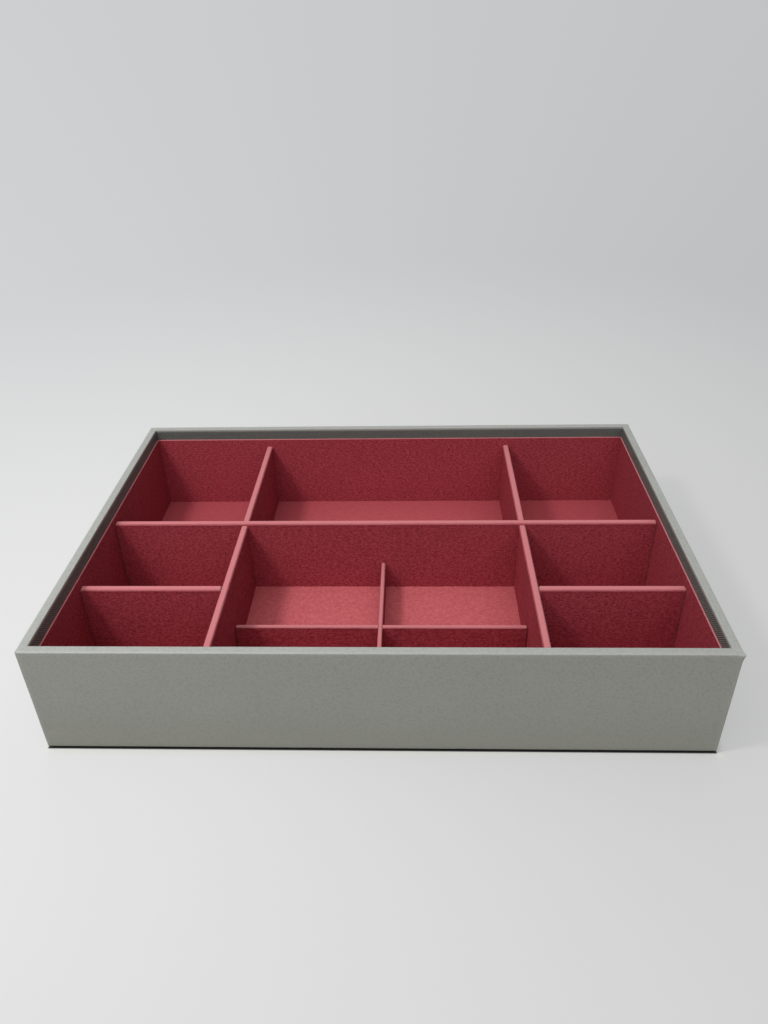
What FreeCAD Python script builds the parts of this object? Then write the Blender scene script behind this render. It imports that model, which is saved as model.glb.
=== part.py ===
import FreeCAD, Part
import os
import Sketcher

# Stackable jewellery tray: a leatherette covered board case, open at the top, with a
# card lining, glued dividers lapped into each other and a loose low cross divider that
# lifts out. Millimetres, +Z up, +Y towards the rear, origin on the table under the
# middle of the tray.

# Driving dimensions
SIZES = (
    ("case_width", "360", "outside of the leatherette, left to right"),
    ("case_depth", "250", "outside of the leatherette, front to rear"),
    ("rim_height", "70", "top of the rim above the table"),
    ("board_thickness", "4.2", "wall boards"),
    ("base_thickness", "3.8", "base board"),
    ("rebate_depth", "2", "seat of a side board in the front and rear boards"),
    ("wrap_thickness", "0.4", "leatherette"),
    ("turn_in", "12", "leatherette turned down inside the rim"),
    ("turn_under", "14", "leatherette turned under the base"),
    ("rim_round", "0.5", "outer top edge of the boards, under the leatherette"),
    ("rim_inner_round", "0.5", "inner edge of the rim, outside of the leatherette"),
    ("corner_round", "0.6", "upright corners of the boards, under the leatherette"),
    ("foot_card", "0.9", "card of the foot panel"),
    ("foot_felt", "0.6", "felt under the foot panel"),
    ("foot_corner", "3", "corner radius of the foot panel"),
    ("stack_gap", "0.6", "foot panel to the rim of the tray below, each side"),
    ("lining_thickness", "1", "lining cards"),
    ("liner_recess", "8", "rim down to the top of the wall linings"),
    ("core_thickness", "3.2", "board inside a divider"),
    ("cover_thickness", "0.4", "lining paper round a divider"),
    ("main_height", "51", "main divider above the floor lining"),
    ("divider_height", "49.4", "other dividers above the floor lining"),
    ("main_setback", "11.5", "main divider behind the middle of the tray"),
    ("long_offset", "89.2", "long dividers from the middle of the tray"),
    ("divider_round", "0.7", "top edges of the board in a divider"),
    ("end_gap", "0.3", "divider ends to the lining or divider that they meet"),
    ("slot_gap", "0.15", "sides of a slot to the divider in it"),
    ("lap_gap", "0.2", "top of a lower slot to the divider under it"),
    ("insert_core", "1.6", "board inside the loose divider"),
    ("insert_height", "20.5", "loose divider above the floor lining"),
    ("insert_round", "0.4", "top edges of the board in the loose divider"),
    ("insert_gap", "0.8", "loose divider to what stands round it"),
)

doc = FreeCAD.newDocument("jewellery_tray")
sheet = doc.addObject("Spreadsheet::Sheet", "Sizes")
for row, (alias, number, meaning) in enumerate(SIZES, start=1):
    sheet.set(f"A{row}", alias)
    sheet.set(f"B{row}", number)
    sheet.set(f"C{row}", meaning)
    sheet.setAlias(f"B{row}", alias)
doc.recompute()

# Lengths that follow from the driving dimensions
FOOT = "(Sizes.foot_card + Sizes.foot_felt)"
WALL = "(Sizes.board_thickness + 2 * Sizes.wrap_thickness)"
BOARD_X = "(Sizes.case_width / 2 - Sizes.wrap_thickness)"
BOARD_Y = "(Sizes.case_depth / 2 - Sizes.wrap_thickness)"
BOARD_BOTTOM = f"({FOOT} + Sizes.wrap_thickness)"
BOARD_TOP = "(Sizes.rim_height - Sizes.wrap_thickness)"
RIM_X = f"(Sizes.case_width / 2 - {WALL})"
RIM_Y = f"(Sizes.case_depth / 2 - {WALL})"
ROOM_X = f"({RIM_X} - Sizes.lining_thickness)"
ROOM_Y = f"({RIM_Y} - Sizes.lining_thickness)"
BASE_TOP = f"({BOARD_BOTTOM} + Sizes.base_thickness)"
FLOOR = f"({BASE_TOP} + Sizes.lining_thickness)"
LINER_TOP = "(Sizes.rim_height - Sizes.liner_recess)"
DIVIDER = "(Sizes.core_thickness + 2 * Sizes.cover_thickness)"
INSERT = "(Sizes.insert_core + 2 * Sizes.cover_thickness)"
LAP = "(Sizes.divider_height / 2)"
INSERT_LAP = "(Sizes.insert_height / 2)"
MAIN_FRONT = f"(Sizes.main_setback - {DIVIDER} / 2)"
BAY_FRONT = f"(-{ROOM_Y})"
BAY_MIDDLE = f"(({MAIN_FRONT} + {BAY_FRONT}) / 2)"
LONG_INNER = f"(Sizes.long_offset - {DIVIDER} / 2)"
LONG_OUTER = f"(Sizes.long_offset + {DIVIDER} / 2)"

# Largest distance between places that count as one
NEAR = 1e-4


def value(expression):
    return float(sheet.evalExpression(expression))


def new_body(label, x="0", y="0", z="0"):
    body = doc.addObject("PartDesign::Body", label)
    body.Label = label
    for axis, expression in zip("xyz", (x, y, z)):
        body.setExpression(f"Placement.Base.{axis}", expression)
    return body


def new_sketch(body, plane, name, lift="0"):
    sketch = body.newObject("Sketcher::SketchObject", f"{body.Label}_{name}")
    flat = next(f for f in body.Origin.OriginFeatures if f.Role == plane)
    sketch.AttachmentSupport = [(flat, "")]
    sketch.MapMode = "FlatFace"
    sketch.setExpression("AttachmentOffset.Base.z", lift)
    return sketch


def outline(sketch, points):
    """Straight-edged closed outline, each corner held by its two distances."""
    corners = [FreeCAD.Vector(value(x), value(y), 0) for x, y in points]
    first = sketch.GeometryCount
    for i, corner in enumerate(corners):
        following = corners[(i + 1) % len(corners)]
        sketch.addGeometry(Part.LineSegment(corner, following), False)
    for i in range(len(corners)):
        following = first + (i + 1) % len(corners)
        sketch.addConstraint(Sketcher.Constraint("Coincident", first + i, 2, following, 1))
    for i, place in enumerate(points):
        for kind, expression in zip(("DistanceX", "DistanceY"), place):
            held = Sketcher.Constraint(kind, -1, 1, first + i, 1, value(expression))
            sketch.setExpression(f"Constraints[{sketch.addConstraint(held)}]", expression)


def rectangle(sketch, x0, x1, y0, y1):
    outline(sketch, ((x0, y0), (x1, y0), (x1, y1), (x0, y1)))


def pad(body, sketch, length, side="One side"):
    feature = body.newObject("PartDesign::Pad", f"{sketch.Name}_pad")
    feature.Profile = sketch
    feature.SideType = side
    feature.setExpression("Length", length)
    return feature


def cut_through(body, sketch):
    doc.recompute()
    before = body.Shape.Volume
    feature = body.newObject("PartDesign::Pocket", f"{sketch.Name}_cut")
    feature.Profile = sketch
    feature.SideType = "Symmetric"
    feature.setExpression("Length", "2 * Sizes.case_width")
    doc.recompute()
    if not body.Shape.Volume < before:
        raise ValueError(f"{sketch.Name} cuts nothing")


def fillet(body, base, wanted, radius, name):
    """Rounds the edges of the base feature that the test named wanted picks."""
    doc.recompute()
    feature = body.newObject("PartDesign::Fillet", f"{body.Label}_{name}")
    edges = enumerate(base.Shape.Edges, start=1)
    feature.Base = (base, [f"Edge{i}" for i, edge in edges if wanted(edge)])
    feature.setExpression("Radius", radius)
    return feature


def corner_edges(x, y):
    """Picks the upright edges at the corners of a rectangle of these half sizes."""
    half_x, half_y = value(x), value(y)

    def wanted(edge):
        spot = edge.CenterOfMass
        return abs(abs(spot.x) - half_x) < NEAR and abs(abs(spot.y) - half_y) < NEAR

    return wanted


def rim_edges(x, y, height):
    """Picks the level edges along the sides of that rectangle, at one height."""
    half_x, half_y, top = value(x), value(y), value(height)

    def wanted(edge):
        box, spot = edge.BoundBox, edge.CenterOfMass
        level = abs(box.ZMin - top) < NEAR and abs(box.ZMax - top) < NEAR
        on_side = abs(abs(spot.x) - half_x) < NEAR or abs(abs(spot.y) - half_y) < NEAR
        return level and on_side

    return wanted


# Wall boards: the front and rear boards run the full width and have a rebate at each
# end, and the side boards are glued into the rebates. What the leatherette is drawn
# over is rounded: the upright corners and the outer top edges.
WALL_HEIGHT = f"({BOARD_TOP} - {BOARD_BOTTOM})"


def end_board(label, sign):
    body = new_body(label, z=BOARD_BOTTOM)
    sketch = new_sketch(body, "XY_Plane", "plan")
    inner = f"({BOARD_Y} - Sizes.board_thickness)"
    seat = f"({inner} + Sizes.rebate_depth)"
    shoulder = f"({BOARD_X} - Sizes.board_thickness)"
    outline(sketch, (
        (f"-{BOARD_X}", f"{sign} * {BOARD_Y}"),
        (BOARD_X, f"{sign} * {BOARD_Y}"),
        (BOARD_X, f"{sign} * {seat}"),
        (shoulder, f"{sign} * {seat}"),
        (shoulder, f"{sign} * {inner}"),
        (f"-{shoulder}", f"{sign} * {inner}"),
        (f"-{shoulder}", f"{sign} * {seat}"),
        (f"-{BOARD_X}", f"{sign} * {seat}"),
    ))
    board = pad(body, sketch, WALL_HEIGHT)
    ends = fillet(body, board, corner_edges(BOARD_X, BOARD_Y), "Sizes.corner_round", "corners")
    fillet(body, ends, rim_edges(BOARD_X, BOARD_Y, WALL_HEIGHT), "Sizes.rim_round", "rim")
    return body


def side_board(label, sign):
    body = new_body(label, z=BOARD_BOTTOM)
    sketch = new_sketch(body, "XY_Plane", "plan")
    reach = f"({BOARD_Y} - Sizes.board_thickness + Sizes.rebate_depth)"
    outer = f"{sign} * {BOARD_X}"
    inner = f"{sign} * ({BOARD_X} - Sizes.board_thickness)"
    rectangle(sketch, inner, outer, f"-{reach}", reach)
    board = pad(body, sketch, WALL_HEIGHT)
    fillet(body, board, rim_edges(BOARD_X, BOARD_Y, WALL_HEIGHT), "Sizes.rim_round", "rim")
    return body


# Base board: glued between the walls, its underside level with their lower edges.
def base_board():
    body = new_body("base_board", z=BOARD_BOTTOM)
    sketch = new_sketch(body, "XY_Plane", "plan")
    x = f"({BOARD_X} - Sizes.board_thickness)"
    y = f"({BOARD_Y} - Sizes.board_thickness)"
    rectangle(sketch, f"-{x}", x, f"-{y}", y)
    pad(body, sketch, "Sizes.base_thickness")
    return body


# Leatherette: one strip glued round the walls, turned over the rim and down inside, and
# turned under the base. The section is swept round the case with mitred corners.
def leatherette_wrap():
    body = new_body("leatherette_wrap", z=FOOT)
    path = new_sketch(body, "XY_Plane", "path")
    x, y = "(Sizes.case_width / 2)", "(Sizes.case_depth / 2)"
    outline(path, (("0", f"-{y}"), (x, f"-{y}"), (x, y), (f"-{x}", y), (f"-{x}", f"-{y}")))
    section = new_sketch(body, "YZ_Plane", "section")
    skin = "Sizes.wrap_thickness"
    top = f"(Sizes.rim_height - {FOOT})"
    outline(section, (
        (f"-{y}", "0"),
        (f"-{y} + Sizes.turn_under", "0"),
        (f"-{y} + Sizes.turn_under", skin),
        (f"-{y} + {skin}", skin),
        (f"-{y} + {skin}", f"{top} - {skin}"),
        (f"-{y} + {WALL} - {skin}", f"{top} - {skin}"),
        (f"-{y} + {WALL} - {skin}", f"{top} - Sizes.turn_in"),
        (f"-{y} + {WALL}", f"{top} - Sizes.turn_in"),
        (f"-{y} + {WALL}", top),
        (f"-{y}", top),
    ))
    strip = body.newObject("PartDesign::AdditivePipe", "leatherette_strip")
    strip.Profile = section
    strip.Spine = (path, [f"Edge{i}" for i in range(1, 6)])
    strip.Transition = "Right corner"
    hidden = f"({top} - {skin})"
    rounds = (
        ("corners_inside", corner_edges(BOARD_X, BOARD_Y), "Sizes.corner_round"),
        ("corners", corner_edges(x, y), f"Sizes.corner_round + {skin}"),
        ("rim_hidden", rim_edges(BOARD_X, BOARD_Y, hidden), "Sizes.rim_round"),
        ("rim", rim_edges(x, y, top), f"Sizes.rim_round + {skin}"),
        ("rim_inside", rim_edges(RIM_X, RIM_Y, top), "Sizes.rim_inner_round"),
    )
    shape = strip
    for name, wanted, radius in rounds:
        shape = fillet(body, shape, wanted, radius, name)
    return body


# Foot panel: a card with a felt underside, glued under the base. It covers the cut
# edges of the leatherette and drops inside the rim of the tray below.
def foot_layer(label, lower, thickness):
    body = new_body(label, z=lower)
    sketch = new_sketch(body, "XY_Plane", "plan")
    x = f"({RIM_X} - Sizes.stack_gap)"
    y = f"({RIM_Y} - Sizes.stack_gap)"
    rectangle(sketch, f"-{x}", x, f"-{y}", y)
    panel = pad(body, sketch, thickness)
    fillet(body, panel, corner_edges(x, y), "Sizes.foot_corner", "corners")
    return body


# Linings: suede paper on card. The floor lining lies on the base board, and the wall
# linings stand on it inside the turned-down leatherette.
def floor_lining():
    body = new_body("floor_lining", z=BASE_TOP)
    sketch = new_sketch(body, "XY_Plane", "plan")
    rectangle(sketch, f"-{RIM_X}", RIM_X, f"-{RIM_Y}", RIM_Y)
    pad(body, sketch, "Sizes.lining_thickness")
    return body


def end_liner(label, sign):
    middle = f"{sign} * ({RIM_Y} - Sizes.lining_thickness / 2)"
    body = new_body(label, y=middle, z=FLOOR)
    sketch = new_sketch(body, "XY_Plane", "plan")
    half = "Sizes.lining_thickness / 2"
    rectangle(sketch, f"-{RIM_X}", RIM_X, f"-{half}", half)
    pad(body, sketch, f"{LINER_TOP} - {FLOOR}")
    return body


def side_liner(label, sign):
    middle = f"{sign} * ({RIM_X} - Sizes.lining_thickness / 2)"
    body = new_body(label, x=middle, z=FLOOR)
    sketch = new_sketch(body, "XY_Plane", "plan")
    half = "Sizes.lining_thickness / 2"
    rectangle(sketch, f"-{half}", half, f"-{ROOM_Y}", ROOM_Y)
    pad(body, sketch, f"{LINER_TOP} - {FLOOR}")
    return body


# Dividers: a board core, and lining paper folded over its top edge and down both faces.
# Each is drawn in its own section, lengthwise along X or Y, standing on z = 0.
SECTION = {"x": "YZ_Plane", "y": "XZ_Plane"}
SIDE_VIEW = {"x": "XZ_Plane", "y": "YZ_Plane"}


def top_edges(run, height):
    top = value(height)

    def wanted(edge):
        box = edge.BoundBox
        length = box.XLength if run == "x" else box.YLength
        across = box.YLength if run == "x" else box.XLength
        level = abs(box.ZMin - top) < NEAR and abs(box.ZMax - top) < NEAR
        return level and length > across

    return wanted


def divider_core(label, run, size, place):
    body = new_body(label, *place)
    sketch = new_sketch(body, SECTION[run], "section")
    half = f"({size['core']} / 2)"
    height = f"({size['height']} - Sizes.cover_thickness)"
    rectangle(sketch, f"-{half}", half, "0", height)
    board = pad(body, sketch, size["length"], "Symmetric")
    fillet(body, board, top_edges(run, height), size["round"], "top")
    return body


def divider_cover(label, run, size, place):
    body = new_body(label, *place)
    sketch = new_sketch(body, SECTION[run], "section")
    outer = f"({size['core']} / 2 + Sizes.cover_thickness)"
    rectangle(sketch, f"-{outer}", outer, "0", size["height"])
    block = pad(body, sketch, size["length"], "Symmetric")
    outer_round = f"{size['round']} + Sizes.cover_thickness"
    rounded = fillet(body, block, top_edges(run, size["height"]), outer_round, "top")
    doc.recompute()
    open_faces = []
    for i, face in enumerate(rounded.Shape.Faces, start=1):
        box = face.BoundBox
        length = box.XLength if run == "x" else box.YLength
        if length < NEAR or box.ZMax < NEAR:
            open_faces.append(f"Face{i}")
    fold = body.newObject("PartDesign::Thickness", f"{label}_fold")
    fold.Base = (rounded, open_faces)
    fold.Reversed = True
    fold.Join = "Arc"
    fold.setExpression("Value", "Sizes.cover_thickness")
    return body


def slot(body, run, name, middle, width, low, high):
    sketch = new_sketch(body, SIDE_VIEW[run], name)
    rectangle(sketch, f"{middle} - {width} / 2", f"{middle} + {width} / 2", low, high)
    cut_through(body, sketch)


def covered_divider(name, run, size, place, slots=()):
    """Core and cover of one divider, with the same slots cut through both."""
    made = []
    for part, make in (("core", divider_core), ("cover", divider_cover)):
        body = make(f"{name}_{part}", run, size, place)
        for number, where in enumerate(slots, start=1):
            slot(body, run, f"slot_{number}", *where)
        made.append(body)
    return made


fixed = {"core": "Sizes.core_thickness", "round": "Sizes.divider_round"}
loose = {"core": "Sizes.insert_core", "round": "Sizes.insert_round"}
slot_width = f"({DIVIDER} + 2 * Sizes.slot_gap)"
insert_slot = f"({INSERT} + 2 * Sizes.slot_gap)"
below, above = "-Sizes.main_height", "2 * Sizes.main_height"

pieces = [
    end_board("front_board", "-1"),
    end_board("rear_board", "1"),
    side_board("left_board", "-1"),
    side_board("right_board", "1"),
    base_board(),
    leatherette_wrap(),
    foot_layer("foot_panel", "Sizes.foot_felt", "Sizes.foot_card"),
    foot_layer("foot_felt", "0", "Sizes.foot_felt"),
    floor_lining(),
    end_liner("front_liner", "-1"),
    end_liner("rear_liner", "1"),
    side_liner("left_liner", "-1"),
    side_liner("right_liner", "1"),
]

# Main divider: from side to side, slotted from below so that its top runs through.
main = dict(fixed, height="Sizes.main_height", length=f"2 * ({ROOM_X} - Sizes.end_gap)")
main_slots = [
    (f"{sign} * Sizes.long_offset", slot_width, below, f"{LAP} + Sizes.lap_gap")
    for sign in ("-1", "1")
]
pieces += covered_divider("main_divider", "x", main, ("0", "Sizes.main_setback", FLOOR), main_slots)

# Long dividers: from front to rear, slotted from above under the main divider.
long = dict(fixed, height="Sizes.divider_height", length=f"2 * ({ROOM_Y} - Sizes.end_gap)")
long_slots = [("Sizes.main_setback", slot_width, LAP, above)]
for side, sign in (("left", "-1"), ("right", "1")):
    place = (f"{sign} * Sizes.long_offset", "0", FLOOR)
    pieces += covered_divider(f"{side}_long_divider", "y", long, place, long_slots)

# Cross dividers: halve the two outer bays in front of the main divider.
cross = dict(
    fixed, height="Sizes.divider_height", length=f"{ROOM_X} - {LONG_OUTER} - 2 * Sizes.end_gap"
)
for side, sign in (("left", "-1"), ("right", "1")):
    place = (f"{sign} * ({ROOM_X} + {LONG_OUTER}) / 2", BAY_MIDDLE, FLOOR)
    pieces += covered_divider(f"{side}_cross_divider", "x", cross, place)

# Loose divider: two thin low boards halved into a cross, standing on the floor lining
# of the middle bay, with room all round to lift out by hand.
insert_long = dict(
    loose, height="Sizes.insert_height", length=f"{MAIN_FRONT} - {BAY_FRONT} - 2 * Sizes.insert_gap"
)
insert_cross = dict(
    loose, height="Sizes.insert_height", length=f"2 * ({LONG_INNER} - Sizes.insert_gap)"
)
centre = ("0", BAY_MIDDLE, FLOOR)
from_below = [("0", insert_slot, below, f"{INSERT_LAP} + Sizes.lap_gap")]
from_above = [("0", insert_slot, INSERT_LAP, above)]
pieces += covered_divider("insert_long", "y", insert_long, centre, from_below)
pieces += covered_divider("insert_cross", "x", insert_cross, centre, from_above)

doc.recompute()
for item in doc.Objects:
    if "Invalid" in item.State or "Error" in item.State:
        raise ValueError(f"{item.Label} failed: {item.State}")
for piece in pieces:
    shape = piece.Shape
    if shape.isNull() or not shape.isValid() or len(shape.Solids) != 1:
        raise ValueError(f"{piece.Label} is not one valid solid")

os.makedirs("parts", exist_ok=True)
for piece in pieces:
    piece.Shape.exportStep(f"parts/{piece.Label}.step")
    box = piece.Shape.BoundBox
    print(
        f"{piece.Label:26s} {piece.Shape.Volume / 1000:9.3f} cm3"
        f"  x {box.XMin:8.2f} {box.XMax:8.2f}  y {box.YMin:8.2f} {box.YMax:8.2f}"
        f"  z {box.ZMin:6.2f} {box.ZMax:6.2f}"
    )
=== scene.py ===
import math

import bmesh
import bpy
from mathutils import Matrix, Vector, noise


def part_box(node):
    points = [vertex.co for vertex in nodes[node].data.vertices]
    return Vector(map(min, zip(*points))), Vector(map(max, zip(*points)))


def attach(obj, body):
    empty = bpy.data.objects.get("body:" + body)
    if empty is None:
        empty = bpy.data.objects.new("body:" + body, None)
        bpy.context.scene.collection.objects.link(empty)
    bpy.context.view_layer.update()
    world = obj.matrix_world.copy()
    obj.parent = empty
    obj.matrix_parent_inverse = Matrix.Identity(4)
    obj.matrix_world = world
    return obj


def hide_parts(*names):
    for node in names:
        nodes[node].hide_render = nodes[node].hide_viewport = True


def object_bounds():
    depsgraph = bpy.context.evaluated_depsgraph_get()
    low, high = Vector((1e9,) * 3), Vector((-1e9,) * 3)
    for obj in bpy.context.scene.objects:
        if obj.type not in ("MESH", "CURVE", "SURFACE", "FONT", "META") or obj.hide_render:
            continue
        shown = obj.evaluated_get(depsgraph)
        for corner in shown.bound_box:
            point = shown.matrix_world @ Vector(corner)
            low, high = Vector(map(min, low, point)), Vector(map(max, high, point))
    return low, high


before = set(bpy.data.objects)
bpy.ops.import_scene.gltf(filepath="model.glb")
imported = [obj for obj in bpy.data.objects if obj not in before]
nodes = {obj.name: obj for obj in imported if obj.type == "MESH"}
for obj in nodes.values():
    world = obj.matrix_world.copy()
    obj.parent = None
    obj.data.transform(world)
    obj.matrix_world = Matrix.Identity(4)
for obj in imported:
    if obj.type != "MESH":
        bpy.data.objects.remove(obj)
cad_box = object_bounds()


# Case boards
# Five raw fibreboards: two long walls rebated at their ends, two side walls glued into
# the rebates and a base glued between them. All of it is hidden once it is covered.
mm = 0.001


class Value:
    """A shader or geometry socket that takes part in sums with numbers and other sockets."""

    def __init__(self, tree, socket):
        self.tree = tree
        self.socket = socket

    def math(self, operation, *operands):
        made = self.tree.nodes.new("ShaderNodeMath")
        made.operation = operation
        for target, operand in zip(made.inputs, operands):
            connect(self.tree, operand, target)
        return Value(self.tree, made.outputs[0])

    def __add__(self, other):
        return self.math("ADD", self, other)

    def __mul__(self, other):
        return self.math("MULTIPLY", self, other)

    def __sub__(self, other):
        return self.math("SUBTRACT", self, other)

    def __rsub__(self, other):
        return self.math("SUBTRACT", other, self)

    def __truediv__(self, other):
        return self.math("DIVIDE", self, other)

    def __rtruediv__(self, other):
        return self.math("DIVIDE", other, self)

    def __lt__(self, other):
        return self.math("LESS_THAN", self, other)

    def __gt__(self, other):
        return self.math("GREATER_THAN", self, other)

    def sine(self):
        return self.math("SINE", self)

    __radd__ = __add__
    __rmul__ = __mul__


def connect(tree, value, target):
    """Feeds a node input from a socket, from several sockets, or from a plain value."""
    if isinstance(value, Value):
        tree.links.new(value.socket, target)
    elif isinstance(value, list):
        for item in value:
            tree.links.new(item.socket, target)
    else:
        target.default_value = value


class Graph:
    """A node tree. Its node method adds any node; settings are set before its sockets."""

    def node(self, kind, sockets=None, output=0, **settings):
        made = self.tree.nodes.new(kind)
        for name, setting in settings.items():
            setattr(made, name, setting)
        for name, value in (sockets or {}).items():
            connect(self.tree, value, made.inputs[name])
        return Value(self.tree, made.outputs[output])

    def smooth(self, value, low, high):
        """0 below low and 1 above high, turning smoothly between them."""
        sockets = {"Value": value, "From Min": low, "From Max": high}
        return self.node("ShaderNodeMapRange", sockets, interpolation_type="SMOOTHSTEP", clamp=True)

    def noise(self, where, scale, detail=2.0, roughness=0.5):
        sockets = {"Vector": where, "Scale": scale, "Detail": detail, "Roughness": roughness}
        return self.node("ShaderNodeTexNoise", sockets)

    def axes(self, vector):
        """The x, y and z of a vector."""
        split = self.node("ShaderNodeSeparateXYZ", {0: vector}).socket.node
        return [Value(self.tree, axis) for axis in split.outputs]


class Finish(Graph):
    """One material, made on its Principled shader."""

    def __init__(self, name):
        self.material = bpy.data.materials.new(name)
        self.material.use_nodes = True
        self.tree = self.material.node_tree
        self.shader = self.tree.nodes["Principled BSDF"]

    def place(self):
        return self.node("ShaderNodeTexCoord", output="Object")

    def attribute(self, name):
        return self.node("ShaderNodeAttribute", output="Fac", attribute_name=name)

    def mix(self, share, first, second):
        sockets = {0: share, 6: first, 7: second}
        return self.node("ShaderNodeMix", sockets, output=2, data_type="RGBA")

    def bump(self, height, distance, under=None):
        sockets = {"Height": height, "Distance": distance, "Strength": 1.0}
        if under is not None:
            sockets["Normal"] = under
        return self.node("ShaderNodeBump", sockets)

    def set(self, **values):
        for name, value in values.items():
            connect(self.tree, value, self.shader.inputs[name.replace("_", " ")])
        return self.material


def opaque(red, green, blue):
    """A colour in linear values."""
    return (red, green, blue, 1.0)


def fibreboard():
    """Bare brown board with short pressed fibres."""
    finish = Finish("fibreboard")
    place = finish.place()
    fibres = finish.noise(place, 900, 4, 0.7)
    clouds = finish.noise(place, 60)
    colour = finish.mix(fibres, opaque(0.22, 0.15, 0.09), opaque(0.52, 0.40, 0.27))
    colour = finish.mix(clouds * 0.35, colour, opaque(0.35, 0.25, 0.16))
    relief = finish.bump(fibres, 0.1 * mm)
    rough = fibres * 0.1 + 0.82
    return finish.set(Base_Color=colour, Roughness=rough, Normal=relief, Specular_IOR_Level=0.3)


def paint(names, material):
    """Gives CAD solids their material."""
    for name in names:
        nodes[name].data.materials.clear()
        nodes[name].data.materials.append(material)


walls = ["front_board", "rear_board", "left_board", "right_board"]
cores = [name for name in nodes if name.endswith("_core")]
paint(walls + ["base_board"] + cores, fibreboard())


# Leatherette
# One strip of grey embossed leatherette, glued round the walls and turned over the rim,
# down inside it and under the base, with a mitred fold at each corner.
wrap_low, wrap_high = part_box("leatherette_wrap")
wrap_thickness = 0.4 * mm
wall_covered = 5.0 * mm
turned_under = 14.0 * mm
turned_in = 12.0 * mm
rim_round = 0.9 * mm
rim_inner_round = 0.5 * mm
bottom_round = 0.7 * mm
corner_round = 1.0 * mm
corner_steps = 6
row_height = 2.0 * mm


def arc(centre, radius, start, end, steps):
    """Points of a round from one angle to another, in degrees, centre first."""
    angles = [math.radians(start + (end - start) * step / steps) for step in range(steps + 1)]
    return [(centre[0] + radius * math.cos(a), centre[1] + radius * math.sin(a)) for a in angles]


def row(start, end, spacing):
    """Points between two others, evenly spaced, with neither of the two."""
    count = max(1, round(math.dist(start, end) / spacing))
    steps = [step / count for step in range(1, count)]
    return [tuple(a + (b - a) * t for a, b in zip(start, end)) for t in steps]


def wrap_profile():
    """The strip's cross-section as (distance inward, height): the side that shows, then its back."""
    low, high = wrap_low.z, wrap_high.z
    inside = wall_covered
    under = [(turned_under, low)]
    under += row((turned_under, low), (bottom_round, low), 3 * mm)
    foot_fold = arc((bottom_round, low + bottom_round), bottom_round, 270, 180, 3)
    outer_fold = arc((rim_round, high - rim_round), rim_round, 180, 90, 5)
    inner_fold = arc((inside - rim_inner_round, high - rim_inner_round), rim_inner_round, 90, 0, 4)
    end = (inside, high - turned_in)
    face = foot_fold + row(foot_fold[-1], outer_fold[0], row_height) + outer_fold
    face += row(outer_fold[-1], inner_fold[0], 1 * mm) + inner_fold
    face += row(inner_fold[-1], end, row_height) + [end]
    t = wrap_thickness
    back = [(inside - t, end[1]), (inside - t, high - t), (t, high - t)]
    back += [(t, low + t), (turned_under, low + t)]
    return under + face, back


def stations(half, radius):
    """Distances from a corner at which the strip is cut along one side, finer near its ends."""
    near = [distance * mm for distance in (0.0, 0.3, 0.8, 1.6, 2.6, 3.8, 5.2, 7, 9.5, 13)]
    whole = 2 * (half - radius)
    middle = row((near[-1], 0), (whole - near[-1], 0), 5 * mm)
    return near + [at[0] for at in middle] + [whole - distance for distance in reversed(near)]


def ring(inset, height):
    """One loop of the strip round the tray: (point, outward direction, distance round, from corner)."""
    radius = max(corner_round - inset, 0.05 * mm)
    halves = (wrap_high.x, wrap_high.y)
    around = 0.0
    points = []
    for side in range(4):
        half_along, half_across = halves[side % 2], halves[(side + 1) % 2]
        turn = side * math.pi / 2
        along = Vector((math.cos(turn), math.sin(turn), 0))
        outward = Vector((math.sin(turn), -math.cos(turn), 0))
        reach = half_along - inset - radius
        full_reach = half_along - corner_round
        for distance in stations(half_along, corner_round):
            t = (distance - full_reach) / full_reach * reach
            point = along * t + outward * (half_across - inset)
            from_corner = min(distance, 2 * full_reach - distance)
            points.append((point, outward, around + distance, from_corner))
        around += 2 * full_reach
        centre = along * reach + outward * (half_across - inset - radius)
        for step in range(1, corner_steps):
            a = math.pi / 2 * step / corner_steps
            direction = outward * math.cos(a) + along * math.sin(a)
            share = around + corner_round * a
            points.append((centre + direction * radius, direction, share, 0.0))
        around += corner_round * math.pi / 2
    return [(point + Vector((0, 0, height)), *rest) for point, *rest in points]


def dents():
    """Small knocks in the faces, and one pinched corner: (middle, radius, depth)."""
    front = wrap_low.y
    return [
        (Vector((wrap_low.x + 5 * mm, front, 14 * mm)), 2.2 * mm, 0.35 * mm),
        (Vector((wrap_low.x + 12 * mm, front, 22 * mm)), 1.6 * mm, 0.12 * mm),
        (Vector((-12 * mm, front, 48 * mm)), 2.5 * mm, 0.1 * mm),
        (Vector((wrap_high.x, 40 * mm, 30 * mm)), 3.0 * mm, 0.15 * mm),
        (Vector((60 * mm, wrap_high.y, 20 * mm)), 2.5 * mm, 0.15 * mm),
        (Vector((wrap_high.x, front, wrap_high.z - 1 * mm)), 2.2 * mm, -0.8 * mm),
    ]


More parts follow.
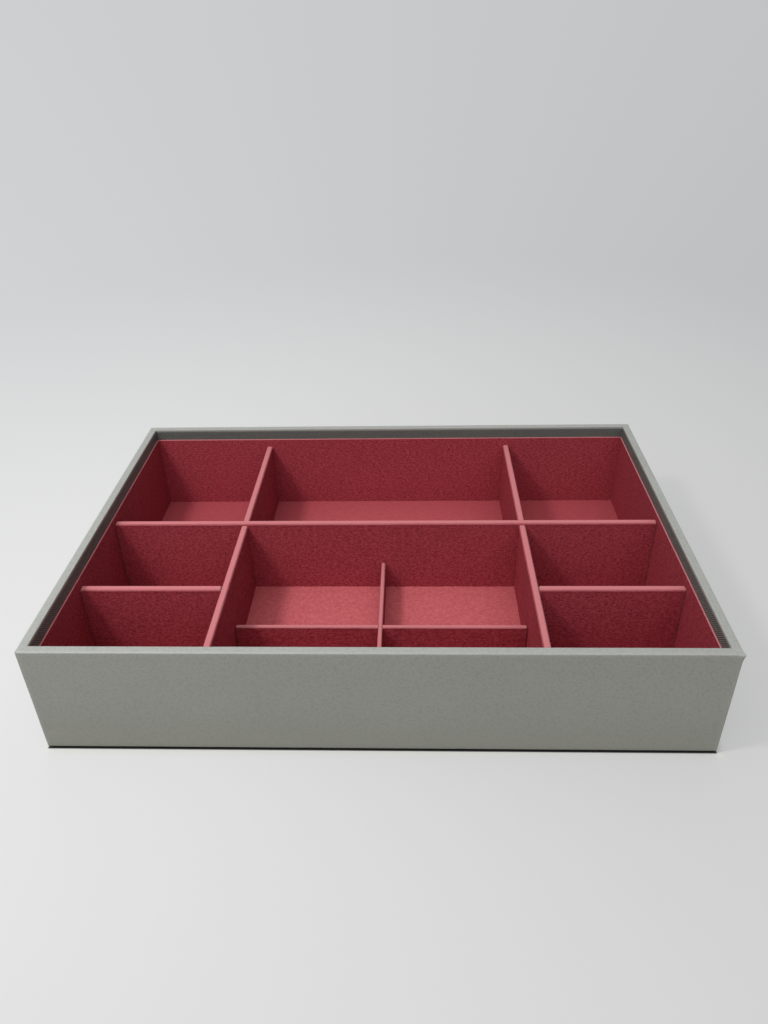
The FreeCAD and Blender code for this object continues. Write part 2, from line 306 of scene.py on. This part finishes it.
def wrap():
    """The whole strip, swept round the tray, and how long it is across, on the side that shows."""
    swell_depth = 0.07 * mm
    sag_depth = 0.12 * mm
    rim_depth = 0.3 * mm
    groove_depth = 0.22 * mm
    groove_width = 0.8 * mm
    rub_highlight_width = 0.5 * mm
    corner_rub_width = 1.2 * mm
    face, back = wrap_profile()
    profile = face + back
    mesh = bpy.data.meshes.new("leatherette")
    shape = bmesh.new()
    grain = shape.loops.layers.uv.new("grain")
    wear_and_highlight = shape.verts.layers.float.new("wear_and_highlight")
    knocks = dents()
    rings = []
    lengths = []
    length = 0.0
    high = wrap_high.z
    for index, (inset, height) in enumerate(profile):
        if index:
            length += math.dist(profile[index - 1], profile[index])
        lengths.append(length)
        verts = []
        shown = index < len(face)
        for point, outward, around, from_corner in ring(inset, height):
            on_face = shown and inset < rim_round and height > wrap_low.z
            on_rim = shown and height > high - rim_depth
            if on_face:
                swell = noise.noise(Vector((around * 28, height * 45, 0.0)))
                point = point + outward * swell * swell_depth
                for middle, size, depth in knocks:
                    point = point - outward * depth * math.exp(-((point - middle).length / size) ** 2)
            if on_rim:
                sag = 0.5 - 0.5 * noise.noise(Vector((around * 40, inset * 300, 5.0)))
                point.z -= sag * sag_depth
                point.z -= groove_depth * max(0.0, 1 - from_corner / groove_width)
            vert = shape.verts.new(point)
            # Kept for the colour: a painted highlight, with some wear, along the rim's outer rounding, and
            # wear at the corners.
            near_edge = height > high - rim_round
            rub_and_highlight = math.exp(-((inset - 0.3 * rim_round) / rub_highlight_width) ** 2) * near_edge
            rub_and_highlight += math.exp(-(from_corner / corner_rub_width) ** 2) * 0.6
            vert[wear_and_highlight] = min(1.0, rub_and_highlight) if shown else 0.0
            verts.append((vert, around))
        rings.append(verts)
    count = len(rings[0])
    rings.append(rings[0])
    lengths.append(length + math.dist(profile[-1], profile[0]))
    whole = rings[0][-1][1] + corner_round * math.pi / 2 / corner_steps
    for row_index in range(len(profile)):
        for k in range(count):
            nxt = (k + 1) % count
            this, after = rings[row_index], rings[row_index + 1]
            quad = [this[k], this[nxt], after[nxt], after[k]]
            made = shape.faces.new([vert for vert, _ in quad])
            made.smooth = True
            here = this[k][1]
            ahead = this[nxt][1] if nxt else whole
            start, end = lengths[row_index], lengths[row_index + 1]
            places = [(here, start), (ahead, start), (ahead, end), (here, end)]
            for loop, place in zip(made.loops, places):
                loop[grain].uv = place
    bmesh.ops.recalc_face_normals(shape, faces=shape.faces)
    shape.to_mesh(mesh)
    shape.free()
    mesh.set_sharp_from_angle(angle=math.radians(40))
    made = bpy.data.objects.new("leatherette", mesh)
    bpy.context.scene.collection.objects.link(made)
    return made, lengths[len(face) - 1]


def leatherette(strip_length):
    """Fine emboss, opened into slanting crossed ribs where the strip turns in over the rim."""
    finish = Finish("grey_leatherette")
    grain = finish.node("ShaderNodeUVMap", output=0, uv_map="grain")
    around, across, _ = finish.axes(grain)
    place = finish.place()
    emboss_turns = math.tau / (0.7 * mm)
    rib_turns = math.tau / (1.6 * mm)
    rib_lean = 1.15
    wander = finish.noise(place, 350, 2) * 2.5
    hatch = (around * emboss_turns + wander).sine() * (across * emboss_turns - wander).sine()
    slant = across * rib_lean
    ribs = [((around + lean) * rib_turns + wander * 0.4).sine() for lean in (slant, slant * -1.0)]
    ribs = around.math("MAXIMUM", *ribs)
    rim_edge = strip_length - turned_in
    band = finish.smooth(across, rim_edge + 0.9 * mm, rim_edge + 2.4 * mm)
    # Painted shade: the turned-in band is darkened a little below the rim's inner edge, and more further
    # down.
    painted_band_shade = finish.smooth(across, rim_edge - 0.5 * mm, rim_edge + 0.6 * mm) * 0.12 + band * 0.36
    mottle = finish.noise(place, 25)
    fine = finish.noise(place, 1600, 2)
    speckle = finish.smooth(finish.noise(place, 750, 3, 0.6), 0.42, 0.7)
    height = finish.axes(place)[2]
    # Painted shade: the walls are darker and a little warmer towards the bottom.
    painted_low_shade = finish.smooth(height, 45 * mm, 0.0) * 0.5
    # Painted shade in the hollows of the band's ribs, and faintly in those of the emboss.
    painted_valley_shade = finish.smooth(ribs, 0.1, 0.7) * band * 0.92
    painted_valley_shade = painted_valley_shade + finish.smooth(hatch * -1.0, 0.2, 1.0) * 0.16
    colour = finish.mix(mottle, opaque(0.36, 0.368, 0.342), opaque(0.40, 0.406, 0.38))
    colour = finish.mix(fine * 0.22, colour, opaque(0.26, 0.265, 0.245))
    colour = finish.mix(speckle * 0.34, colour, opaque(0.22, 0.225, 0.205))
    colour = finish.mix(painted_low_shade, colour, opaque(0.30, 0.302, 0.262))
    # Painted highlight with some wear: lighter along the rim edge, at the corners and on the tuck flaps.
    colour = finish.mix(finish.attribute("wear_and_highlight") * 0.25, colour, opaque(0.50, 0.51, 0.485))
    colour = finish.mix(painted_band_shade, colour, opaque(0.085, 0.125, 0.108))
    colour = finish.mix(painted_valley_shade, colour, opaque(0.026, 0.034, 0.03))
    relief = finish.bump(hatch * 0.5 + fine * 0.8, 0.05 * mm)
    relief = finish.bump(ribs * band * -1.0, 0.12 * mm, under=relief)
    return finish.set(Base_Color=colour, Roughness=fine * 0.12 + 0.42, Normal=relief)


def corner_tuck(name, end, side, reach):
    """A flap of the strip, folded over at the mitre and stuck down inside the front or rear wall."""
    # In millimetres: along the wall, down from the rim, and how far it stands off the wall.
    outline = [
        (0.05, 0.7, 0.12),
        (0.05, 7.7, 0.12),
        (reach, 7.7, 0.3),
        (reach * 0.93, 6.6, 0.34),
        (reach * 0.45, 2.4, 0.3),
        (0.9, 0.9, 0.15),
    ]
    sunk = -0.05
    inner_x, inner_y = wrap_high.x - wall_covered, wrap_high.y - wall_covered
    corner = Vector((side * inner_x, end * inner_y, wrap_high.z))
    shape = bmesh.new()
    grain = shape.loops.layers.uv.new("grain")
    wear_and_highlight = shape.verts.layers.float.new("wear_and_highlight")
    levels = []
    for raised in (False, True):
        level = []
        for along, down, lift in outline:
            off = lift if raised else sunk
            vert = shape.verts.new(corner - Vector((side * along, end * off, down)) * mm)
            # The raised flap is painted lighter, as a highlight with some wear.
            rub_and_highlight = raised and along > 0.1 and down < 7
            vert[wear_and_highlight] = 0.6 if rub_and_highlight else 0.1
            level.append(vert)
        levels.append(level)
    back, front = levels
    shape.faces.new(front)
    shape.faces.new(list(reversed(back)))
    count = len(outline)
    for k in range(count):
        nxt = (k + 1) % count
        shape.faces.new([back[k], back[nxt], front[nxt], front[k]])
    bmesh.ops.recalc_face_normals(shape, faces=shape.faces)
    strip_end = wrap_high.z - turned_in
    for face in shape.faces:
        for loop in face.loops:
            place = loop.vert.co
            loop[grain].uv = (place.x + wrap_thickness, strip_length - (place.z - strip_end))
    mesh = bpy.data.meshes.new(name)
    shape.to_mesh(mesh)
    shape.free()
    made = bpy.data.objects.new(name, mesh)
    bpy.context.scene.collection.objects.link(made)
    mesh.materials.append(strip.data.materials[0])
    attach(made, "tray")


strip, strip_length = wrap()
strip.data.materials.append(leatherette(strip_length))
paint(["leatherette_wrap"], strip.data.materials[0])
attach(strip, "tray")
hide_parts("leatherette_wrap")
corner_tuck("rear_right_tuck", 1, 1, 9.5)
corner_tuck("rear_left_tuck", 1, -1, 6.0)
corner_tuck("front_right_tuck", -1, 1, 7.0)
corner_tuck("front_left_tuck", -1, -1, 8.0)


# Foot
# A card panel faced with black felt, glued under the base inside the rim line, so that
# the walls stand clear of the table by its thickness.
def black_card():
    """Plain card, dyed black."""
    finish = Finish("black_card")
    fibres = finish.noise(finish.place(), 700, 3, 0.6)
    colour = finish.mix(fibres, opaque(0.012, 0.012, 0.012), opaque(0.03, 0.03, 0.03))
    relief = finish.bump(fibres, 0.05 * mm)
    return finish.set(Base_Color=colour, Roughness=fibres * 0.1 + 0.75, Normal=relief)


def felt():
    """Short matted black fibres."""
    finish = Finish("black_felt")
    fibres = finish.noise(finish.place(), 1500, 4, 0.7)
    colour = finish.mix(fibres, opaque(0.008, 0.008, 0.009), opaque(0.04, 0.04, 0.042))
    relief = finish.bump(fibres, 0.15 * mm)
    return finish.set(Base_Color=colour, Roughness=0.95, Normal=relief, Sheen_Weight=0.3)


paint(["foot_panel"], black_card())
paint(["foot_felt"], felt())


# Linings
# Deep rose suede paper on card: one floor lining, and four wall linings that stand on
# it and end below the rim with the paper folded over their edge.
def nap(finish, place):
    """Short brushed fibres: a fine grain, drawn out level along the paper."""
    grain = finish.noise(place, 1100, 3, 0.65)
    stretch = finish.node("ShaderNodeVectorMath", {0: place, 1: (420, 420, 1000)}, operation="MULTIPLY")
    streaks = finish.noise(stretch, 1.0, 3, 0.6)
    return finish.smooth(grain * 0.5 + streaks * 0.5, 0.34, 0.66)


def suede():
    """Rose paper with a brushed nap, paler where it folds over a top edge: partly worn nap, partly painted
    sheen.
    """
    finish = Finish("rose_suede_paper")
    place = finish.place()
    fibres = nap(finish, place)
    clouds = finish.noise(place, 45, 3)
    colour = finish.mix(fibres, opaque(0.205, 0.021, 0.033), opaque(0.45, 0.068, 0.088))
    colour = finish.mix(clouds * 0.3, colour, opaque(0.26, 0.029, 0.042))
    below_top = finish.attribute("below_top") + clouds * (0.2 * mm)
    # Paler at the folded top edge: partly worn and faded nap, partly painted sheen.
    fold = finish.smooth(below_top, 0.75 * mm, 0.25 * mm)
    colour = finish.mix(fold, colour, opaque(0.53, 0.178, 0.192))
    relief = finish.bump(fibres, 0.05 * mm)
    return finish.set(Base_Color=colour, Roughness=0.95, Normal=relief, Specular_IOR_Level=0.1)


def floor_suede_with_painted_light():
    """The same paper on the floor, paler than on the walls, with a painted pool of light in the middle of
    the front compartments and painted shade towards the rear and sides.
    """
    finish = Finish("floor_suede_paper_with_painted_light")
    place = finish.place()
    fibres = nap(finish, place)
    clouds = finish.noise(place, 30, 3)
    colour = finish.mix(fibres, opaque(0.44, 0.088, 0.10), opaque(0.58, 0.147, 0.16))
    colour = finish.mix(clouds * 0.4, colour, opaque(0.44, 0.085, 0.10))
    # Painted light: the floor is lightest round this point, and painted shade darkens it towards the rear
    # and sides.
    painted_light_centre = (0, -60 * mm, 0)
    reach = finish.node("ShaderNodeVectorMath", {0: place, 1: painted_light_centre}, output=1, operation="DISTANCE")
    painted_outer_shade = finish.smooth(reach, 70 * mm, 200 * mm) * 0.7
    colour = finish.mix(painted_outer_shade, colour, opaque(0.33, 0.048, 0.062))
    relief = finish.bump(fibres, 0.05 * mm)
    return finish.set(Base_Color=colour, Roughness=0.95, Normal=relief, Specular_IOR_Level=0.1)


paper = suede()
floor_suede = floor_suede_with_painted_light()


class Shape(Graph):
    """A geometry tree with named inputs, used to make one mesh for each set of them."""

    def __init__(self, name, inputs):
        self.tree = bpy.data.node_groups.new(name, "GeometryNodeTree")
        self.identifiers = {}
        for label in inputs:
            socket = self.tree.interface.new_socket(label, in_out="INPUT", socket_type="NodeSocketFloat")
            self.identifiers[label] = socket.identifier
        self.tree.interface.new_socket("Mesh", in_out="OUTPUT", socket_type="NodeSocketGeometry")
        self.group = self.tree.nodes.new("NodeGroupInput")

    def given(self, *labels):
        return [Value(self.tree, self.group.outputs[label]) for label in labels]

    def vector(self, x=0.0, y=0.0, z=0.0):
        return self.node("ShaderNodeCombineXYZ", {"X": x, "Y": y, "Z": z})

    def position(self):
        return self.axes(self.node("GeometryNodeInputPosition"))

    def run(self, length, spacing):
        """The line along X that a cross-section is swept along, cut at even steps."""
        ends = {"Start": self.vector(length * -0.5), "End": self.vector(length * 0.5)}
        line = self.node("GeometryNodeCurvePrimitiveLine", ends)
        sockets = {"Curve": line, "Length": spacing}
        return self.node("GeometryNodeResampleCurve", sockets, mode="LENGTH")

    def bar(self, run, bottom, top, width, radius, cuts):
        """A bar along the run with rounded top edges. The cross-section's own Y points down."""
        left, right = width * -0.5, width * 0.5
        corners = {
            "Point 1": self.vector(left, bottom * -1),
            "Point 2": self.vector(left, top * -1),
            "Point 3": self.vector(right, top * -1),
            "Point 4": self.vector(right, bottom * -1),
        }
        outline = self.node("GeometryNodeCurvePrimitiveQuadrilateral", corners, mode="POINTS")
        number = self.node("GeometryNodeInputIndex")
        at_top = (number > 0.5) * (number < 2.5)
        fillet = {"Curve": outline, "Count": 4, "Radius": at_top * radius, "Limit Radius": True}
        outline = self.node("GeometryNodeFilletCurve", fillet, mode="POLY")
        if cuts:
            outline = self.node("GeometryNodeSubdivideCurve", {"Curve": outline, "Cuts": cuts})
        sweep = {"Curve": run, "Profile Curve": outline, "Fill Caps": True}
        return self.node("GeometryNodeCurveToMesh", sweep)

    def shift(self, geometry, offset):
        return self.node("GeometryNodeSetPosition", {"Geometry": geometry, "Offset": offset})

    def mark_depth(self, geometry, depth):
        """The distance below the folded top edge, for the paper's finish."""
        sockets = {"Geometry": geometry, "Name": "below_top", "Value": depth}
        settings = {"data_type": "FLOAT", "domain": "POINT"}
        return self.node("GeometryNodeStoreNamedAttribute", sockets, **settings)

    def finish(self, geometry, material):
        real = self.node("GeometryNodeRealizeInstances", {"Geometry": geometry})
        painted = self.node("GeometryNodeSetMaterial", {"Geometry": real, "Material": material})
        out = self.tree.nodes.new("NodeGroupOutput")
        connect(self.tree, painted, out.inputs[0])

    def make(self, name, **values):
        made = bpy.data.objects.new(name, bpy.data.meshes.new(name))
        bpy.context.scene.collection.objects.link(made)
        modifier = made.modifiers.new("make", "NODES")
        modifier.node_group = self.tree
        for label, value in values.items():
            modifier[self.identifiers[label]] = float(value)
        graph = bpy.context.evaluated_depsgraph_get()
        mesh = bpy.data.meshes.new_from_object(made.evaluated_get(graph), depsgraph=graph)
        made.modifiers.remove(modifier)
        made.data = mesh
        return made


def settle(made, node, body):
    """Puts a piece made along X in the place of a CAD node, and lets it stand for that node."""
    lowest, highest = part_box(node)
    size = highest - lowest
    middle = (highest + lowest) / 2
    turn = math.pi / 2 if size.y > size.x else 0.0
    stand = Matrix.Translation((middle.x, middle.y, lowest.z))
    made.data.transform(stand @ Matrix.Rotation(turn, 4, "Z"))
    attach(made, body)
    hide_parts(node)


def lining_card(material):
    """A card that stands along a wall, a little bowed, with its paper folded over the top edge."""
    names = ["length", "height", "thickness", "inward", "seed"]
    shape = Shape("lining_card", names)
    length, height, thickness, inward, seed = shape.given(*names)
    bow_depth = 0.2 * mm
    dip_depth = 0.25 * mm
    run = shape.run(length, 4 * mm)
    card = shape.bar(run, height * 0, height, thickness, 0.3 * mm, 4)
    x, y, z = shape.position()
    bow = shape.noise(shape.vector(x * 16, seed, z * 22), 1.0, 1.0)
    dip = shape.noise(shape.vector(x * 45, seed + 5.0), 1.0, 2.0)
    crest = shape.smooth(z, height * 0.97, height)
    offset = shape.vector(0.0, bow * inward * bow_depth, crest * (dip * -dip_depth))
    card = shape.shift(shape.mark_depth(card, (height - z) * 1.4), offset)
    card = shape.node("GeometryNodeSetShadeSmooth", {"Geometry": card, "Shade Smooth": False})
    shape.finish(card, material)
    return shape


linings = lining_card(paper)
lining_gap = 1.1 * mm
for seed, (side, inward) in enumerate({"front": 1, "rear": -1, "left": -1, "right": 1}.items()):
    lowest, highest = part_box(side + "_liner")
    size = highest - lowest
    length, thickness = max(size.x, size.y) - lining_gap, min(size.x, size.y)
    values = {"length": length, "height": size.z, "thickness": thickness}
    made = linings.make(side + "_lining", inward=inward, seed=seed * 9 + 2, **values)
    settle(made, side + "_liner", "tray")


def floor_paper(material):
    """The floor lining: a thin card with faint swells, and edges that lift a little at the walls."""
    names = ["width", "depth", "thickness"]
    shape = Shape("floor_paper", names)
    width, depth, thickness = shape.given(*names)
    swell_height = 0.3 * mm
    edge_lift = 0.1 * mm
    size = shape.vector(width, depth, thickness)
    cuts = {"Size": size, "Vertices X": 117, "Vertices Y": 80, "Vertices Z": 2}
    sheet = shape.node("GeometryNodeMeshCube", cuts)
    raised = shape.vector(0.0, 0.0, thickness * 0.5)
    sheet = shape.node("GeometryNodeTransform", {"Geometry": sheet, "Translation": raised})
    x, y, z = shape.position()
    swell = shape.noise(shape.vector(x * 30, y * 30), 1.0, 2.0) - 0.5
    edge = shape.smooth(x.math("ABSOLUTE", x), width * 0.5 - 3 * mm, width * 0.5)
    offset = shape.vector(0.0, 0.0, (z / thickness) * (swell * swell_height + edge * edge_lift))
    sheet = shape.shift(sheet, offset)
    shape.finish(sheet, material)
    return shape


lowest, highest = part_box("floor_lining")
size = highest - lowest
made = floor_paper(floor_suede).make("floor_paper", width=size.x, depth=size.y, thickness=size.z)
settle(made, "floor_lining", "tray")


# Fixed dividers
# Cards wrapped in the suede paper, folded over the top edge and glued down in a narrow
# strip whose cut edge waves. The two long ones lap up into slots under the main one.
def folded_cover(material):
    """Paper folded over a card that stands along X, with slots across it for the lap joints."""
    sizes = ["length", "height", "thickness", "round", "strip"]
    places = ["first", "second", "gap", "low", "high", "seed"]
    shape = Shape("folded_cover", sizes + places)
    length, height, thickness, radius, drop = shape.given(*sizes)
    first, second, gap, low, high, seed = shape.given(*places)
    paper_thickness = 0.4 * mm
    proud = 0.15 * mm
    raised = 0.05 * mm
    slot_depth = 12 * mm
    wobble_depth = 0.16 * mm
    wave_height = 1.6 * mm
    ragged_height = 0.5 * mm
    run = shape.run(length, 4 * mm)

    def block(middle, width_x, width_y, bottom, top):
        cube = shape.node("GeometryNodeMeshCube", {"Size": shape.vector(width_x, width_y, top - bottom)})
        place = shape.vector(middle, 0.0, (top + bottom) * 0.5)
        return shape.node("GeometryNodeTransform", {"Geometry": cube, "Translation": place})

    def less(body, cutters):
        settings = {"operation": "DIFFERENCE", "solver": "EXACT"}
        return shape.node("GeometryNodeMeshBoolean", {"Mesh 1": body, "Mesh 2": cutters}, **settings)

    middle = length * 0
    slots = [block(place, gap, slot_depth, low, high) for place in (first, second)]
    inner_width, inner_top = thickness - 2 * paper_thickness, height - paper_thickness
    card = block(middle, length + 2 * mm, inner_width, middle - 1 * mm, inner_top)
    cover = less(shape.bar(run, middle, height, thickness, radius, 4), [card] + slots)
    x, y, z = shape.position()
    wobble = shape.noise(shape.vector(x * 60, seed, z * 60), 1.0, 1.0)
    outer = y.math("ABSOLUTE", y) > thickness * 0.5 - 0.05 * mm
    cover = shape.shift(cover, shape.vector(0.0, y * (outer * wobble * wobble_depth / thickness)))

    strip_end = height - drop
    lip = shape.bar(run, strip_end, height + raised, thickness + 2 * proud, radius + proud, 0)
    inner_width, inner_top = thickness - 0.1 * mm, height - 0.05 * mm
    inside = block(middle, length + 2 * mm, inner_width, strip_end - 2 * mm, inner_top)
    lip = less(lip, [inside] + slots)
    wave = shape.noise(shape.vector(x * 90, seed + 7.0), 1.0, 2.0) - 0.5
    ragged = shape.noise(shape.vector(x * 420, seed + 3.0), 1.0, 1.0) - 0.5
    cut_edge = z < height - drop * 0.6
    drop_by = cut_edge * (wave * wave_height + ragged * ragged_height)
    lip = shape.shift(lip, shape.vector(0.0, 0.0, drop_by))

    # The lip's paler top, partly painted sheen, reaches further down it.
    lip = shape.mark_depth(lip, (height - z) * 0.45)
    cover = shape.mark_depth(cover, height - z)
    whole = shape.node("GeometryNodeJoinGeometry", {"Geometry": [lip, cover]})
    whole = shape.node("GeometryNodeSetShadeSmooth", {"Geometry": whole, "Shade Smooth": False})
    shape.finish(whole, material)
    return shape


covers = folded_cover(paper)
fold_round = 1.1 * mm
slot_play = 0.15 * mm
end_gap = 0.7 * mm
wide_strip = 1.8 * mm


def divider(name, body, slots=(), low=0.0, high=0.0, gap=0.0, strip=wide_strip, seed=0.0):
    """The paper of one divider in the place of its CAD cover, with lap slots at the given distances."""
    lowest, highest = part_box(name + "_cover")
    size = highest - lowest
    length, thickness = max(size.x, size.y), min(size.x, size.y)
    unused_slots = [2 * length, 3 * length]
    first, second = (list(slots) + unused_slots)[:2]
    made = covers.make(
        name + "_paper", length=length - end_gap, height=size.z, thickness=thickness,
        round=min(fold_round, thickness * 0.3), strip=strip, first=first, second=second,
        gap=gap, low=low, high=high, seed=seed,
    )
    settle(made, name + "_cover", body)


main_low, main_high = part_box("main_divider_cover")
long_low, long_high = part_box("right_long_divider_cover")
main_y = (main_low.y + main_high.y) / 2
long_x = (long_low.x + long_high.x) / 2
lap = (long_high.z - long_low.z) / 2
lap_play = 0.2 * mm
below = -2 * mm
above = 80 * mm
slot_gap = main_high.y - main_low.y + 2 * slot_play
divider("main_divider", "tray", (-long_x, long_x), below, lap + lap_play, slot_gap, seed=1.0)
for seed, side in enumerate(("left", "right"), start=2):
    divider(side + "_long_divider", "tray", (main_y,), lap, above, slot_gap, seed=seed)
    divider(side + "_cross_divider", "tray", seed=seed + 4)


# Loose insert
# Two thin cards in the same paper, halved into each other to a low cross that stands
# loose in the middle front compartment and lifts out.
insert_low, insert_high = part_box("insert_long_cover")
insert_middle = (insert_low + insert_high) / 2
cross_low, cross_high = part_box("insert_cross_cover")
insert_lap = (insert_high.z - insert_low.z) / 2
insert_gap = insert_high.x - insert_low.x + 2 * slot_play
thin_strip = 0.9 * mm
cross_y = (cross_low.y + cross_high.y) / 2 - insert_middle.y
divider("insert_long", "insert", (cross_y,), below, insert_lap + lap_play, insert_gap, thin_strip, seed=11)
divider("insert_cross", "insert", (0.0,), insert_lap, above, insert_gap, thin_strip, seed=12)


# Setting
# A wide pale floor, a near lamp at the upper front left, soft light from above and in
# front, and the camera, which stands in front of the tray and looks down on it.
def backdrop_level(sideways):
    """How bright the far background is, from the direction in which it lies: lighter to the left."""
    return sideways * -0.1 + 0.575


def cool_grey(graph, level):
    """A grey of the given brightness, very slightly blue."""
    return graph.node("ShaderNodeCombineColor", {0: level, 1: level * 1.012, 2: level * 1.03})


def seen_directly(graph):
    """1 where the camera sees a thing, itself or mirrored, and 0 where it only gives light."""
    rays = ["Is Camera Ray", "Is Glossy Ray", "Is Transmission Ray"]
    camera, glossy, clear = [graph.node("ShaderNodeLightPath", output=ray) for ray in rays]
    seen = camera + glossy + clear
    return seen.math("MINIMUM", seen, 1.0)


def pale_floor():
    """A pale sheet with a painted shadow under the tray, that goes over into the background far away."""
    finish = Finish("pale_floor")
    place = finish.place()
    x, y, _ = finish.axes(place)
    beside_x = x.math("ABSOLUTE", x) - cad_box[1].x
    beside_y = y.math("ABSOLUTE", y) - cad_box[1].y
    beside = x.math("MAXIMUM", beside_x, beside_y)
    # Painted shadow: the floor's colour is nearly black under the tray's footprint.
    painted_contact_shadow = finish.smooth(beside, 0.6 * mm, -0.2 * mm)
    clouds = finish.noise(place, 4, 2)
    speck = finish.noise(place, 160, 2)
    relief = finish.bump(finish.noise(place, 30, 3), 0.4 * mm)
    bounced = finish.node("ShaderNodeLightPath", output="Is Diffuse Ray")
    colour = finish.mix(clouds, opaque(0.67, 0.668, 0.645), opaque(0.70, 0.698, 0.675))
    colour = finish.mix(speck * 0.06, colour, opaque(0.6, 0.6, 0.58))
    colour = finish.mix(bounced, colour, opaque(0.26, 0.25, 0.20))
    colour = finish.mix(painted_contact_shadow, colour, opaque(0.02, 0.02, 0.02))
    finish.set(Base_Color=colour, Roughness=0.75, Normal=relief)
    distance = finish.node("ShaderNodeVectorMath", {0: place}, output="Value", operation="LENGTH")
    # The floor's glow is painted lighter near the tray, as a pool of light.
    level = finish.smooth(distance, 0.9, 0.15) * 0.09 + backdrop_level(x / distance)
    far = finish.node("ShaderNodeEmission", {"Color": cool_grey(finish, level)}, output="Emission")
    share = (finish.smooth(distance, 0.2, 0.9) * 0.42 + 0.58) * seen_directly(finish)
    share = share * finish.smooth(beside, 0.3 * mm, 6 * mm)
    near = Value(finish.tree, finish.shader.outputs[0])
    whole = finish.node("ShaderNodeMixShader", {0: share, 1: near, 2: far})
    connect(finish.tree, whole, finish.tree.nodes["Material Output"].inputs["Surface"])
    return finish.material


def floor():
    """A level sheet far larger than the view."""
    mesh = bpy.data.meshes.new("floor")
    reach = 30.0
    corners = [(-reach, -reach, 0), (reach, -reach, 0), (reach, reach, 0), (-reach, reach, 0)]
    mesh.from_pydata(corners, [], [(0, 1, 2, 3)])
    mesh.materials.append(pale_floor())
    made = bpy.data.objects.new("floor", mesh)
    bpy.context.scene.collection.objects.link(made)


def key_light():
    """A soft lamp close by, so that its light falls off across the tray."""
    lamp = bpy.data.lights.new("key", "POINT")
    place = Vector((-390 * mm, -250 * mm, 710 * mm))
    at_tray = 0.37
    lamp.energy = at_tray * math.pi * 4 * math.pi * place.length_squared
    lamp.shadow_soft_size = 65 * mm
    made = bpy.data.objects.new("key", lamp)
    made.location = place
    bpy.context.scene.collection.objects.link(made)


def sky():
    """A dark studio: wide soft lights overhead and in front, and low ones behind and at the right."""
    world = bpy.data.worlds.new("studio")
    world.use_nodes = True
    bpy.context.scene.world = world
    room = Graph()
    room.tree = world.node_tree
    direction = room.node("ShaderNodeTexCoord", output="Generated")

    # Each light: its direction, the cosine at which it ends, and how bright its middle is.
    lights = [
        ((-0.25, -0.20, 0.87), 0.5, 0.75),
        ((0.05, 0.5, 0.87), 0.5, 0.6),
        ((0.0, -0.66, 0.75), 0.6, 1.5),
        ((0.0, 0.9, 0.42), 0.7, 0.4),
        ((1.0, 0.1, 0.0), 0.92, 0.6),
        ((0.0, 1.0, 0.1), 0.88, 0.9),
    ]
    strength = 0.03
    for toward, start, brightness in lights:
        sockets = {0: direction, 1: Vector(toward).normalized()}
        facing = room.node("ShaderNodeVectorMath", sockets, output="Value", operation="DOT_PRODUCT")
        strength = room.smooth(facing, start, 1.0) * brightness + strength
    light = room.node("ShaderNodeBackground", {"Strength": strength})
    level = backdrop_level(room.axes(direction)[0])
    backdrop = room.node("ShaderNodeBackground", {"Color": cool_grey(room, level)})
    whole = room.node("ShaderNodeMixShader", {0: seen_directly(room), 1: light, 2: backdrop})
    connect(room.tree, whole, room.tree.nodes["World Output"].inputs["Surface"])


def camera():
    """Its place, turn and focal length, fitted to the corners and edges of the tray."""
    lens = bpy.data.cameras.new("camera")
    sensor = 36
    focal_pixels, longest_side_pixels = 799.26, 1024
    lens.sensor_width = sensor
    lens.lens = focal_pixels * sensor / longest_side_pixels
    made = bpy.data.objects.new("camera", lens)
    made.location = (20.34 * mm, -417.68 * mm, 339.89 * mm)
    made.rotation_euler = [math.radians(turn) for turn in (57.39, 1.34, 1.71)]
    bpy.context.scene.collection.objects.link(made)
    bpy.context.scene.camera = made


floor()
key_light()
sky()
camera()
bpy.context.scene.view_settings.view_transform = "Standard"
